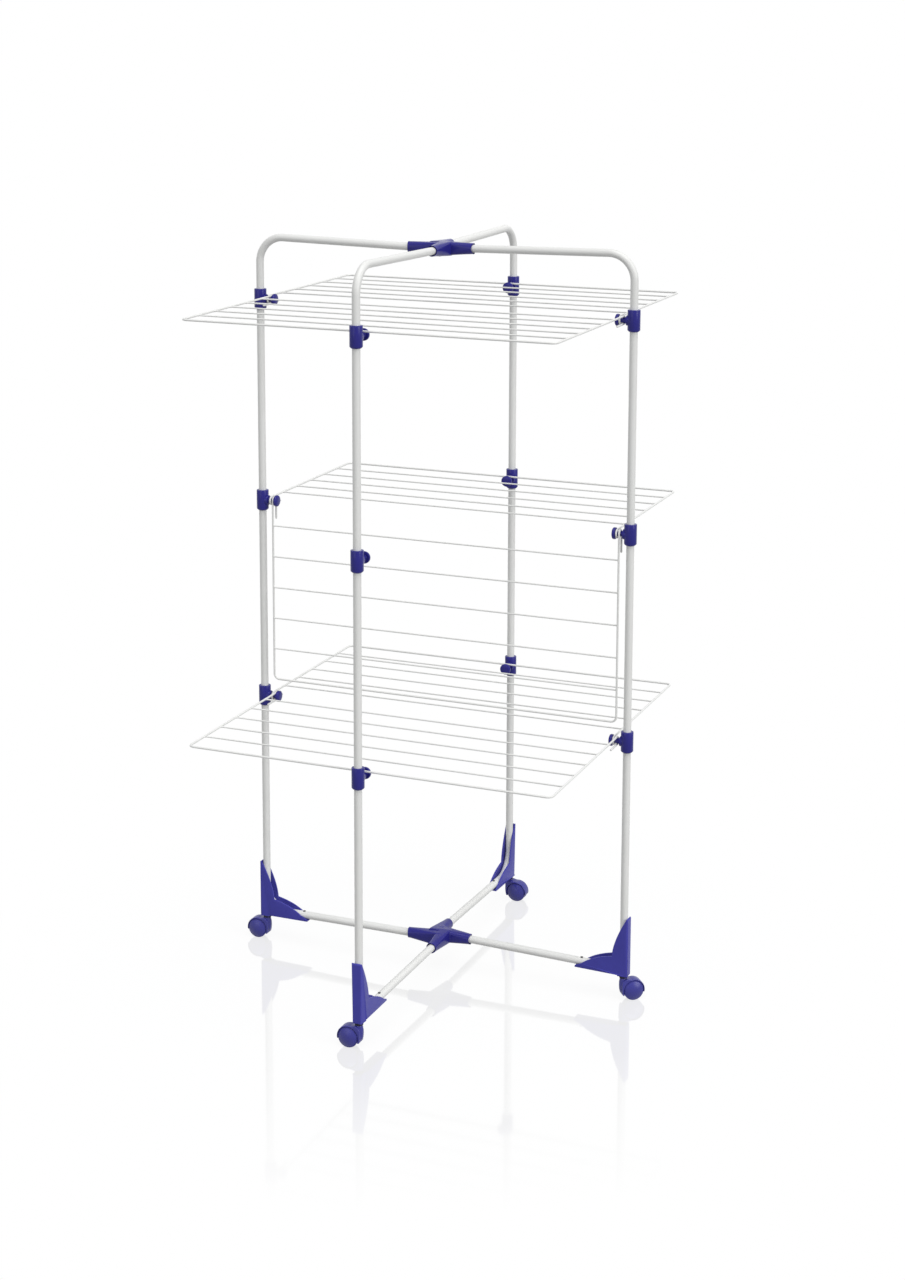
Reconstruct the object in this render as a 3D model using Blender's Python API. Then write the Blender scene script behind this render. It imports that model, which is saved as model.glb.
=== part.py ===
"""Tower clothes airer: two crossed tube frames on four twin-wheel castors,
three levels of folding wire wings hung on plastic clips.

Metres, +Z up. The floor is z = 0 under the tower's centre line. The left and right
legs stand on the X axis, the front and back legs on the Y axis (front is -Y).
Every leg is modelled once in its own frame, with +X pointing inward to the tower's
centre line, and placed four times.
"""
import math

import bmesh
import bpy
from mathutils import Matrix, Vector

# Clearance that neighbouring solids keep, and the overrun of every cut.
FIT = 0.0003
OVERRUN = 0.004

# Tube frames.
LEG_SPAN = 0.770
TUBE_DIAMETER = 0.015
TUBE_WALL = 0.0012
CORNER_RADIUS = 0.050
FOOT_AXIS_HEIGHT = 0.062
BASE_HUB_HEIGHT = 0.0675
TOP_CORNER_ABOVE_LEVEL = 0.124
TOP_TUBE_FALL = 0.007
SPIGOT_LENGTH = 0.035
SPIGOT_WALL = 0.0010
SWAGE_LENGTH = 0.004
TUBE_SIDES = 10
CORNER_STEPS = 5

# Levels of the wings, measured at the stud axes of their clips.
LOW_LEVEL_HEIGHT = 0.520
LEVEL_STEP = 0.404

# Hubs: the four tubes pass the centre line sideways, like a pinwheel.
HUB_OFFSET = 0.009
TUBE_END_SETBACK = 0.002
HUB_REACH = 0.064
HUB_SLEEVE_WALL = 0.003
HUB_CORE_HALF_WIDTH = 0.0125
HUB_CORE_HALF_HEIGHT = 0.0125
HUB_BAND_RAISE = 0.0010
HUB_CORE_OVERLAP = 0.006
HUB_SIDES = 12
HUB_STATION_SHARES = (1.0, 0.55, 0.15)
HUB_ROUND_POWER = 2.0
HUB_CORE_POWER = 3.6

# Clips on the legs: collar, boss, stud and disc head.
COLLAR_DIAMETER = 0.0240
COLLAR_HEIGHT = 0.0410
COLLAR_CHAMFER = 0.0030
BOSS_DIAMETER = 0.0195
BOSS_REACH = 0.0140
STUD_DIAMETER = 0.0100
DISC_DIAMETER = 0.0226
DISC_THICKNESS = 0.0050
DISC_REACH = 0.0335
DISC_EDGE = 0.0012
CLIP_SIDES = 12

# Wire wings.
FRAME_WIRE_DIAMETER = 0.0040
RUNG_WIRE_DIAMETER = 0.0030
HOOK_FROM_LEG = 0.0230
HOOK_STAGGER = 0.0030
OUTER_WIRE_FROM_LEG = 0.0195
HOOK_TAIL = 0.038
WING_CORNER_RADIUS = 0.022
RUNG_COUNT = 5
LAST_RUNG_FROM_HINGE = 0.0495
FRAME_WIRE_SIDES = 8
RUNG_WIRE_SIDES = 6
HOOK_STEPS = 6
WING_CORNER_STEPS = 3

# Foot brackets: a channel round the bend of the tube, with two pointed cheeks.
CHEEK_THICKNESS = 0.0026
WEB_THICKNESS = 0.0032
WEB_EDGE_ROUND = 0.0030
FOOT_TOP = 0.105
FOOT_TIP = 0.097
FOOT_TIP_WIDTH = 0.0030
FOOT_BOTTOM_LIP = 0.0025
NECK_BOTTOM_HEIGHT = 0.0490
NECK_INNER = 0.0085
NECK_FLARE = 0.0050
UPPER_FIN_SHARES = ((0.0, 0.857), (0.31, 0.738), (0.64, 0.571), (0.85, 0.43))
LOWER_FIN_SHARES = ((0.47, 0.78), (0.67, 0.50), (0.86, 0.03))
INNER_CORNER_X = 0.0210
INNER_CORNER_Z = 0.0265
PIN_PLACE = 0.086
PIN_HOLE_DIAMETER = 0.0036
PIN_DIAMETER = 0.0030
PIN_HEAD_DIAMETER = 0.0056
PIN_HEAD_HEIGHT = 0.0012
PIN_LENGTH = 0.0045
PIN_SIDES = 8

# Castors.
WHEEL_DIAMETER = 0.040
WHEEL_WIDTH = 0.0090
WHEEL_DOME = 0.0035
WHEEL_EDGE_ROUND = 0.0012
CASTOR_HALF_WIDTH = 0.0135
CASTOR_TRAIL = 0.0192
WHEEL_SIDES = 16
WEB_HALF_WIDTH = 0.0041
FENDER_HALF_WIDTH = 0.0102
FENDER_RADIUS = 0.0222
FENDER_GAP = 0.0010
FENDER_STEPS = 9
FENDER_REAR_DROP = math.radians(13)
FENDER_FRONT_TURN = math.radians(10)
HOOD_SHOULDER_SHARES = ((0.62, 0.930), (0.30, 0.982))
HOOD_FRONT = 0.0053
HOOD_FRONT_ROUND = 0.0016
HOOD_FRONT_SHARES = (
    (-0.38, 0.966),
    (0.47, 0.866),
    (0.90, 0.75),
    (1.00, 0.60),
    (0.93, 0.41),
    (0.60, 0.245),
)
BOSS_RADIUS = 0.0082
BOSS_SHARES = ((0.26, 0.45), (0.48, 0.96), (0.76, 1.0), (0.90, 0.86), (1.0, 0.80))
RING_DIAMETER = 0.0150
RING_THICKNESS = 0.0022
SOCKET_PIN_DIAMETER = 0.0080
SOCKET_PIN_LENGTH = 0.0255
SWIVEL_PIN_DIAMETER = 0.0060
SWIVEL_PIN_LENGTH = 0.0150
AXLE_DIAMETER = 0.0040
AXLE_BITE = 0.0060
CASTOR_SIDES = 12

# Worked out from the sizes above.
HALF_SPAN = LEG_SPAN / 2
TUBE_RADIUS = TUBE_DIAMETER / 2
MIDDLE_LEVEL_HEIGHT = LOW_LEVEL_HEIGHT + LEVEL_STEP
TOP_LEVEL_HEIGHT = LOW_LEVEL_HEIGHT + 2 * LEVEL_STEP
TOP_CORNER_HEIGHT = TOP_LEVEL_HEIGHT + TOP_CORNER_ABOVE_LEVEL
TOP_HUB_HEIGHT = TOP_CORNER_HEIGHT - TOP_TUBE_FALL
TOE_ANGLE = math.asin(HUB_OFFSET / HALF_SPAN)
HINGE_TO_WIRE = STUD_DIAMETER / 2 + FRAME_WIRE_DIAMETER / 2 + FIT
WING_LENGTH = HALF_SPAN - OUTER_WIRE_FROM_LEG
RUNG_PITCH = (WING_LENGTH - LAST_RUNG_FROM_HINGE) / RUNG_COUNT
WING_HALF_WIDTH = HALF_SPAN - HOOK_FROM_LEG
WHEEL_RADIUS = WHEEL_DIAMETER / 2

# Turn of each leg's own frame about Z, in degrees, and its castor's turn from inward.
LEGS = {"left": 0, "front": 90, "right": 180, "back": 270}
RIGHT_CASTOR_SWING = 2 * math.atan(CASTOR_HALF_WIDTH / (CASTOR_TRAIL + WHEEL_RADIUS))
CASTOR_TRAIL_ANGLE = {
    "left": math.pi,
    "front": math.pi,
    "right": RIGHT_CASTOR_SWING,
    "back": 0,
}
LEVELS = {"bottom": LOW_LEVEL_HEIGHT, "middle": MIDDLE_LEVEL_HEIGHT, "top": TOP_LEVEL_HEIGHT}

WHITE_COAT = ((0.80, 0.80, 0.78), 0.38, 0.0)
BLUE_PLASTIC = ((0.045, 0.042, 0.235), 0.40, 0.0)
BLACK_PLASTIC = ((0.012, 0.012, 0.014), 0.45, 0.0)
ZINC_STEEL = ((0.55, 0.56, 0.57), 0.32, 1.0)
DARK_STEEL = ((0.05, 0.05, 0.052), 0.40, 1.0)


def clear_scene():
    for old in list(bpy.data.objects):
        bpy.data.objects.remove(old, do_unlink=True)


def material(name, look):
    colour, roughness, metallic = look
    made = bpy.data.materials.new(name)
    made.use_nodes = True
    shader = made.node_tree.nodes["Principled BSDF"]
    shader.inputs["Base Color"].default_value = (*colour, 1.0)
    shader.inputs["Roughness"].default_value = roughness
    shader.inputs["Metallic"].default_value = metallic
    made.diffuse_color = (*colour, 1.0)
    return made


def link_object(name, mesh, look=None, matrix=None):
    """One named object from a mesh, placed by its matrix."""
    made = bpy.data.objects.new(name, mesh)
    bpy.context.scene.collection.objects.link(made)
    if look is not None:
        mesh.materials.append(look)
    if matrix is not None:
        made.matrix_world = matrix
    return made


def finish_mesh(name, builder):
    """A smooth-shaded mesh from a bmesh, its faces pointing out."""
    bmesh.ops.recalc_face_normals(builder, faces=builder.faces)
    mesh = bpy.data.meshes.new(name)
    builder.to_mesh(mesh)
    builder.free()
    smooth(mesh)
    return mesh


def smooth(mesh):
    mesh.shade_smooth()
    mesh.set_sharp_from_angle(angle=math.radians(40))


def add_ring(builder, points):
    return [builder.verts.new(point) for point in points]


def bridge_rings(builder, first, second):
    count = len(first)
    for index in range(count):
        after = (index + 1) % count
        builder.faces.new((first[index], first[after], second[after], second[index]))


def loft(builder, rings, closed=False):
    """A solid through rings of equally many points, with flat caps unless closed."""
    made = [add_ring(builder, ring) for ring in rings]
    for first, second in zip(made, made[1:]):
        bridge_rings(builder, first, second)
    if closed:
        bridge_rings(builder, made[-1], made[0])
    else:
        builder.faces.new(made[0])
        builder.faces.new(list(reversed(made[-1])))


def circle(centre, side, up, radius, count):
    """Points round a centre; side and up are the two axes of the circle's plane."""
    turns = [2 * math.pi * (index + 0.5) / count for index in range(count)]
    return [centre + radius * (math.cos(turn) * side + math.sin(turn) * up) for turn in turns]


def sweep_rings(path, radii, count, side):
    """Rings along a flat path; side is the constant normal of the path's plane."""
    rings = []
    for index, point in enumerate(path):
        before = path[max(index - 1, 0)]
        after = path[min(index + 1, len(path) - 1)]
        ahead = (after - before).normalized()
        rings.append(circle(point, side, ahead.cross(side), radii[index], count))
    return rings


def rod(builder, path, radius, count, side):
    loft(builder, sweep_rings(path, [radius] * len(path), count, side))


def pipe(builder, path, outer, inner, count, side):
    """A hollow tube, open at both ends, with its two radii at each point of the path."""
    outside = sweep_rings(path, outer, count, side)
    inside = sweep_rings(path, inner, count, side)
    loft(builder, outside + list(reversed(inside)), closed=True)


def turned(builder, profile, count, axis, side, centre):
    """A solid of revolution; profile is (distance along the axis, radius) from end to end."""
    up = axis.cross(side)
    rings = [circle(centre + along * axis, side, up, radius, count) for along, radius in profile]
    loft(builder, rings)


def combine(target, tool, operation):
    """Join or cut one object by another, and drop the tool."""
    change = target.modifiers.new("combine", "BOOLEAN")
    change.operation = operation
    change.solver = "EXACT"
    change.object = tool
    bpy.context.view_layer.update()
    seen = target.evaluated_get(bpy.context.evaluated_depsgraph_get())
    mesh = bpy.data.meshes.new_from_object(seen)
    target.modifiers.clear()
    old = target.data
    target.data = mesh
    bpy.data.meshes.remove(old)
    bpy.data.objects.remove(tool, do_unlink=True)
    smooth(mesh)


def tool_from(builder):
    return link_object("tool", finish_mesh("tool", builder))


def leg_matrix(leg, height=0.0):
    """The frame of a leg: origin on the leg's axis, +X inward to the centre line."""
    turn = Matrix.Rotation(math.radians(LEGS[leg]), 4, "Z")
    return turn @ Matrix.Translation((-HALF_SPAN, 0, height))


def arc_points(centre, radius, start, end, steps):
    turns = [start + (end - start) * index / steps for index in range(steps + 1)]
    return [(centre[0] + radius * math.cos(t), centre[1] + radius * math.sin(t)) for t in turns]


def corner_arc(corner_height, slope, radius, steps):
    """The bend from a vertical leg into a tube rising at slope: (inward, height) pairs."""
    turn = math.pi / 2 + slope
    centre = (radius, corner_height + radius * math.tan(turn / 2))
    return arc_points(centre, radius, math.pi, math.pi + turn, steps)


def in_toe_plane(inward, height):
    """A point of the leg's bent tube, whose plane is toed in past the centre line."""
    return Vector((inward * math.cos(TOE_ANGLE), -inward * math.sin(TOE_ANGLE), height))


TOE_NORMAL = Vector((math.sin(TOE_ANGLE), math.cos(TOE_ANGLE), 0))
TUBE_REACH = (HALF_SPAN - TUBE_END_SETBACK) / math.cos(TOE_ANGLE)
BASE_SLOPE = math.atan2(BASE_HUB_HEIGHT - FOOT_AXIS_HEIGHT, HALF_SPAN)
TOP_SLOPE = math.atan2(TOP_CORNER_HEIGHT - TOP_HUB_HEIGHT, HALF_SPAN)


def lower_axis(inward):
    """A point on the axis of the sloping base tube, in the leg's frame."""
    return in_toe_plane(inward, FOOT_AXIS_HEIGHT + inward * math.tan(BASE_SLOPE))


def upper_axis(inward):
    return in_toe_plane(inward, TOP_CORNER_HEIGHT - inward * math.tan(TOP_SLOPE))


def lower_path():
    bend = corner_arc(FOOT_AXIS_HEIGHT, BASE_SLOPE, CORNER_RADIUS, CORNER_STEPS)
    start = in_toe_plane(0, MIDDLE_LEVEL_HEIGHT - FIT / 2)
    return [start] + [in_toe_plane(*point) for point in bend] + [lower_axis(TUBE_REACH)]


def upper_path():
    """From the tip of the swaged spigot up through the corner to the hub."""
    bend = corner_arc(-TOP_CORNER_HEIGHT, TOP_SLOPE, CORNER_RADIUS, CORNER_STEPS)
    joint = MIDDLE_LEVEL_HEIGHT + FIT / 2
    heights = [joint - SPIGOT_LENGTH, joint, joint + SWAGE_LENGTH]
    leg = [in_toe_plane(0, height) for height in heights]
    turned_over = [in_toe_plane(inward, -height) for inward, height in bend]
    return leg + turned_over + [upper_axis(TUBE_REACH)]


def lower_tube_mesh():
    path = lower_path()
    builder = bmesh.new()
    outer = [TUBE_RADIUS] * len(path)
    inner = [TUBE_RADIUS - TUBE_WALL] * len(path)
    pipe(builder, path, outer, inner, TUBE_SIDES, TOE_NORMAL)
    return finish_mesh("lower_tube", builder)


def upper_tube_mesh():
    """The upper tube: its lower end is drawn in to plug into the lower tube."""
    path = upper_path()
    spigot = TUBE_RADIUS - TUBE_WALL - FIT
    outer = [spigot, spigot] + [TUBE_RADIUS] * (len(path) - 2)
    bore = spigot - SPIGOT_WALL
    inner = [bore, bore] + [TUBE_RADIUS - TUBE_WALL] * (len(path) - 2)
    builder = bmesh.new()
    pipe(builder, path, outer, inner, TUBE_SIDES, TOE_NORMAL)
    return finish_mesh("upper_tube", builder)


def pin_axes():
    """Where the foot pin stands on the base tube, and its two directions."""
    place = lower_axis(PIN_PLACE)
    along = (lower_axis(2 * PIN_PLACE) - place).normalized()
    up = along.cross(TOE_NORMAL)
    if up.z < 0:
        up = -up
    return place, along, up


def drill_pin_hole(tube):
    """The hole in the top of the base tube that the foot pin stands in."""
    place, along, up = pin_axes()
    builder = bmesh.new()
    ends = [(0, PIN_HOLE_DIAMETER / 2), (TUBE_RADIUS + OVERRUN, PIN_HOLE_DIAMETER / 2)]
    turned(builder, ends, PIN_SIDES, up, along, place)
    combine(tube, tool_from(builder), "DIFFERENCE")


def build_tubes(white):
    lower = link_object("lower_pattern", lower_tube_mesh())
    drill_pin_hole(lower)
    lower_mesh = lower.data
    bpy.data.objects.remove(lower, do_unlink=True)
    lower_mesh.materials.clear()
    lower_mesh.materials.append(white)
    upper_mesh = upper_tube_mesh()
    upper_mesh.materials.append(white)
    for leg in LEGS:
        link_object(f"lower_tube_{leg}", lower_mesh, matrix=leg_matrix(leg))
        link_object(f"upper_tube_{leg}", upper_mesh, matrix=leg_matrix(leg))


def rounded_section(centre, side, up, half_width, half_height, power, count):
    """A closed outline between a circle (power 2) and a rectangle (higher powers)."""
    points = []
    for index in range(count):
        turn = 2 * math.pi * (index + 0.5) / count
        across = math.copysign(abs(math.cos(turn)) ** (2 / power), math.cos(turn))
        rise = math.copysign(abs(math.sin(turn)) ** (2 / power), math.sin(turn))
        points.append(centre + half_width * across * side + half_height * rise * up)
    return points


def hub_arm(leg, axis_point, raise_top):
    """One sleeve arm of a hub, flaring from a round mouth to the squarish core."""
    frame = leg_matrix(leg)
    turn = frame.to_3x3()
    end = axis_point(HALF_SPAN / math.cos(TOE_ANGLE))
    start = axis_point((HALF_SPAN - HUB_REACH) / math.cos(TOE_ANGLE))
    ahead = (end - start).normalized()
    side = turn @ TOE_NORMAL
    up = turn @ ahead.cross(TOE_NORMAL)
    mouth = TUBE_RADIUS + HUB_SLEEVE_WALL
    rings = []
    for share in HUB_STATION_SHARES:
        grown = 1 - share
        centre = frame @ (end + share * (start - end))
        width = mouth + grown * (HUB_CORE_HALF_WIDTH - mouth)
        height = mouth + grown * (HUB_CORE_HALF_HEIGHT + raise_top - mouth)
        power = HUB_ROUND_POWER + grown * (HUB_CORE_POWER - HUB_ROUND_POWER)
        rings.append(rounded_section(centre, side, up, width, height, power, HUB_SIDES))
    last = frame @ (end + HUB_CORE_OVERLAP * ahead)
    height = HUB_CORE_HALF_HEIGHT + raise_top
    width = HUB_CORE_HALF_WIDTH
    rings.append(rounded_section(last, side, up, width, height, HUB_CORE_POWER, HUB_SIDES))
    builder = bmesh.new()
    loft(builder, rings)
    return finish_mesh("hub_arm", builder)


def hub_bore(leg, axis_point):
    """The socket of one tube: it stops just past the tube's end."""
    frame = leg_matrix(leg)
    side = frame.to_3x3() @ TOE_NORMAL
    mouth = axis_point((HALF_SPAN - HUB_REACH - OVERRUN) / math.cos(TOE_ANGLE))
    bottom = axis_point(TUBE_REACH + FIT)
    builder = bmesh.new()
    rod(builder, [frame @ mouth, frame @ bottom], TUBE_RADIUS + FIT, TUBE_SIDES, side)
    return tool_from(builder)


def build_hub(name, axis_point, blue):
    """The one-piece cross of a hub, with four blind sockets."""
    raises = {leg: HUB_BAND_RAISE if leg in ("front", "back") else 0.0 for leg in LEGS}
    body = None
    for leg in LEGS:
        arm = link_object("arm", hub_arm(leg, axis_point, raises[leg]))
        if body is None:
            body = arm
        else:
            combine(body, arm, "UNION")
    for leg in LEGS:
        combine(body, hub_bore(leg, axis_point), "DIFFERENCE")
    body.name = name
    body.data.materials.clear()
    body.data.materials.append(blue)


def clip_mesh(blue):
    """Collar round the leg with a boss, a stud and a domed disc head pointing inward."""
    up = Vector((0, 0, 1))
    inward = Vector((1, 0, 0))
    across = Vector((0, 1, 0))
    radius = COLLAR_DIAMETER / 2
    half = COLLAR_HEIGHT / 2
    outline = [
        (-half, radius - COLLAR_CHAMFER),
        (-half + COLLAR_CHAMFER, radius),
        (half, radius),
    ]
    builder = bmesh.new()
    turned(builder, outline, CLIP_SIDES, up, inward, Vector())
    collar = link_object("clip", finish_mesh("clip", builder))
    boss = BOSS_DIAMETER / 2
    stud = STUD_DIAMETER / 2
    disc = DISC_DIAMETER / 2
    inner_face = DISC_REACH - DISC_THICKNESS
    outline = [
        (TUBE_RADIUS, boss),
        (BOSS_REACH, boss),
        (BOSS_REACH, stud),
        (inner_face, stud),
        (inner_face, disc - DISC_EDGE),
        (inner_face + DISC_EDGE, disc),
        (DISC_REACH - DISC_EDGE, disc),
        (DISC_REACH, disc / 2),
    ]
    builder = bmesh.new()
    turned(builder, outline, CLIP_SIDES, inward, across, Vector())
    combine(collar, tool_from(builder), "UNION")
    builder = bmesh.new()
    rod(
        builder,
        [Vector((0, 0, -half - OVERRUN)), Vector((0, 0, half + OVERRUN))],
        TUBE_RADIUS + FIT,
        TUBE_SIDES,
        across,
    )
    combine(collar, tool_from(builder), "DIFFERENCE")
    mesh = collar.data
    bpy.data.objects.remove(collar, do_unlink=True)
    mesh.materials.clear()
    mesh.materials.append(blue)
    return mesh


def build_clips(blue):
    mesh = clip_mesh(blue)
    for level, height in LEVELS.items():
        for leg in LEGS:
            link_object(f"clip_{level}_{leg}", mesh, matrix=leg_matrix(leg, height))


def wing_side_path(sign):
    """Half of the frame wire in the wing's own frame, tail end first.

    The hinge axis is X. The wing lies flat toward -Y, its main wire over the studs
    and its hook tail under them."""
    bend = HINGE_TO_WIRE
    hook = arc_points((0, 0), bend, -math.pi / 2, math.pi / 2, HOOK_STEPS)
    points = [Vector((sign * WING_HALF_WIDTH, -HOOK_TAIL, -bend))]
    points += [Vector((sign * WING_HALF_WIDTH, along, rise)) for along, rise in hook]
    reach = WING_HALF_WIDTH - WING_CORNER_RADIUS
    depth = WING_LENGTH - WING_CORNER_RADIUS
    turn = arc_points((reach, -depth), WING_CORNER_RADIUS, 0, -math.pi / 2, WING_CORNER_STEPS)
    corner = [Vector((sign * across, along, bend)) for across, along in turn]
    return points, corner


def wire_rings(path, radius, count):
    """Rings along a wire that bends in more than one plane, carried along without twist."""
    rings = []
    ahead = (path[1] - path[0]).normalized()
    side = Vector((1, 0, 0))
    for index, point in enumerate(path):
        before = path[max(index - 1, 0)]
        after = path[min(index + 1, len(path) - 1)]
        now = (after - before).normalized()
        side = ahead.rotation_difference(now) @ side
        side = (side - side.dot(now) * now).normalized()
        ahead = now
        rings.append(circle(point, side, now.cross(side), radius, count))
    return rings


def wing_mesh(white):
    """One bent frame wire with a hook at each end, and the rungs welded between its sides."""
    tail, corner = wing_side_path(-1)
    other_tail, other_corner = wing_side_path(1)
    path = tail + corner + list(reversed(other_corner)) + list(reversed(other_tail))
    builder = bmesh.new()
    loft(builder, wire_rings(path, FRAME_WIRE_DIAMETER / 2, FRAME_WIRE_SIDES))
    wing = link_object("wing", finish_mesh("wing", builder))
    for index in range(RUNG_COUNT):
        along = -WING_LENGTH + (index + 1) * RUNG_PITCH
        reach = WING_HALF_WIDTH
        ends = [Vector((-reach, along, HINGE_TO_WIRE)), Vector((reach, along, HINGE_TO_WIRE))]
        builder = bmesh.new()
        rod(builder, ends, RUNG_WIRE_DIAMETER / 2, RUNG_WIRE_SIDES, Vector((0, 1, 0)))
        combine(wing, tool_from(builder), "UNION")
    mesh = wing.data
    bpy.data.objects.remove(wing, do_unlink=True)
    mesh.materials.clear()
    mesh.materials.append(white)
    return mesh


def build_wings(white):
    """Six wings: a front and a back one on each level. The middle front one hangs down."""
    mesh = wing_mesh(white)
    for level, height in LEVELS.items():
        front = Matrix.Translation((HOOK_STAGGER, 0, height))
        if level == "middle":
            front = front @ Matrix.Rotation(math.pi / 2, 4, "X")
        back = Matrix.Translation((-HOOK_STAGGER, 0, height)) @ Matrix.Rotation(math.pi, 4, "Z")
        link_object(f"wing_{level}_front", mesh, matrix=front)
        link_object(f"wing_{level}_back", mesh, matrix=back)


def foot_outline(inset, with_neck):
    """The side outline of a foot bracket in the leg's plane: (inward, height) pairs.

    The height is measured from the base tube's axis at the leg; inset draws the outer
    edge in, for the rounded edges of the web. Without its neck the outline ends at the
    underside, so the neck narrows toward the castor."""
    outer = -(TUBE_RADIUS + FIT + WEB_THICKNESS) + inset
    under = -(TUBE_RADIUS + FOOT_BOTTOM_LIP) + inset
    bottom = NECK_BOTTOM_HEIGHT - FOOT_AXIS_HEIGHT if with_neck else under - inset
    rise = math.tan(BASE_SLOPE)
    points = [(outer, FOOT_TOP), (outer, bottom), (NECK_INNER - inset, bottom)]
    points.append((NECK_INNER + NECK_FLARE, under + (NECK_INNER + NECK_FLARE) * rise))
    points.append((FOOT_TIP, under + FOOT_TIP * rise))
    points.append((FOOT_TIP, under + FOOT_TIP * rise + FOOT_TIP_WIDTH))
    for across, up in reversed(LOWER_FIN_SHARES):
        points.append((across * FOOT_TIP, up * INNER_CORNER_Z))
    points.append((INNER_CORNER_X, INNER_CORNER_Z))
    for across, up in reversed(UPPER_FIN_SHARES):
        points.append((across * INNER_CORNER_X, up * FOOT_TOP))
    points.append((outer + FOOT_TIP_WIDTH, FOOT_TOP))
    return points


def channel_outline():
    """The space inside the bracket that the bent tube lies in, open to the inner side."""
    seat = TUBE_RADIUS + FIT
    bend = corner_arc(0.0, BASE_SLOPE, CORNER_RADIUS, CORNER_STEPS)
    centre = Vector((CORNER_RADIUS, CORNER_RADIUS * math.tan((math.pi / 2 + BASE_SLOPE) / 2)))
    points = [(-seat, FOOT_TOP + OVERRUN)]
    for place in bend:
        away = (Vector(place) - centre).normalized()
        points.append(tuple(Vector(place) + seat * away))
    far = FOOT_TIP + OVERRUN
    points.append((far, far * math.tan(BASE_SLOPE) - seat))
    points.append((far, FOOT_TOP + OVERRUN))
    return points


def plate(outlines):
    """A solid through side outlines; each comes with its place across the leg's plane."""
    builder = bmesh.new()
    rings = []
    for across, outline in outlines:
        side = across * TOE_NORMAL
        rings.append([in_toe_plane(x, z + FOOT_AXIS_HEIGHT) + side for x, z in outline])
    loft(builder, rings)
    return builder


def foot_mesh(blue):
    half = TUBE_RADIUS + FIT + CHEEK_THICKNESS
    flat = half - WEB_EDGE_ROUND
    drawn_in = foot_outline(WEB_EDGE_ROUND * (1 - math.sqrt(0.5)) * 2, with_neck=False)
    whole = foot_outline(0.0, with_neck=True)
    slices = [(-half, drawn_in), (-flat, whole), (flat, whole), (half, drawn_in)]
    foot = link_object("foot", finish_mesh("foot", plate(slices)))
    seat = TUBE_RADIUS + FIT
    channel = plate([(-seat, channel_outline()), (seat, channel_outline())])
    combine(foot, tool_from(channel), "DIFFERENCE")
    builder = bmesh.new()
    top = NECK_BOTTOM_HEIGHT + SOCKET_PIN_LENGTH + FIT
    ends = [(NECK_BOTTOM_HEIGHT - OVERRUN, SOCKET_PIN_DIAMETER / 2 + FIT)]
    ends.append((top, SOCKET_PIN_DIAMETER / 2 + FIT))
    up = Vector((0, 0, 1))
    turned(builder, ends, CASTOR_SIDES, up, Vector((1, 0, 0)), Vector())
    combine(foot, tool_from(builder), "DIFFERENCE")
    mesh = foot.data
    bpy.data.objects.remove(foot, do_unlink=True)
    mesh.materials.clear()
    mesh.materials.append(blue)
    return mesh


def build_feet(blue):
    mesh = foot_mesh(blue)
    for leg in LEGS:
        link_object(f"foot_{leg}", mesh, matrix=leg_matrix(leg))


def build_foot_pins(dark):
    """Push pins standing in the top of the base tubes at the ends of the brackets."""
    place, along, up = pin_axes()
    seat = TUBE_RADIUS + FIT
    shank = PIN_DIAMETER / 2
    head = PIN_HEAD_DIAMETER / 2
    profile = [
        (seat - PIN_LENGTH, shank),
        (seat, shank),
        (seat, head),
        (seat + PIN_HEAD_HEIGHT / 2, head),
        (seat + PIN_HEAD_HEIGHT, head / 2),
    ]
    builder = bmesh.new()
    turned(builder, profile, PIN_SIDES, up, along, place)
    mesh = finish_mesh("foot_pin", builder)
    mesh.materials.append(dark)
    for leg in LEGS:
        link_object(f"foot_pin_{leg}", mesh, matrix=leg_matrix(leg))


def castor_stem_mesh(black):
    """The pin pressed into the foot, its ring, and the thinner pin that the castor turns on."""
    ring = RING_DIAMETER / 2
    socket = SOCKET_PIN_DIAMETER / 2
    swivel = SWIVEL_PIN_DIAMETER / 2
    ring_top = NECK_BOTTOM_HEIGHT - FIT
    ring_bottom = ring_top - RING_THICKNESS
    profile = [
        (ring_bottom - SWIVEL_PIN_LENGTH, swivel),
        (ring_bottom, swivel),
        (ring_bottom, ring),
        (ring_top, ring),
        (ring_top, socket),
        (NECK_BOTTOM_HEIGHT + SOCKET_PIN_LENGTH, socket),
    ]
    builder = bmesh.new()
    turned(builder, profile, CASTOR_SIDES, Vector((0, 0, 1)), Vector((1, 0, 0)), Vector())
    mesh = finish_mesh("castor_stem", builder)
    mesh.materials.append(black)
    return mesh


def hood_outline(top, front_inset):
    """The hood's side outline in the castor's frame: a fender round the wheels, a
    shoulder up to the stem and a bulging front wall that ends in a point."""
    axle = (CASTOR_TRAIL, WHEEL_RADIUS)
    end = math.pi / 2 + FENDER_FRONT_TURN
    points = arc_points(axle, FENDER_RADIUS, -FENDER_REAR_DROP, end, FENDER_STEPS)
    for behind, height in HOOD_SHOULDER_SHARES:
        points.append((behind * CASTOR_TRAIL, height * top))
    for ahead, height in HOOD_FRONT_SHARES:
        points.append((-ahead * HOOD_FRONT + front_inset, height * top))
    return points


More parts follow.
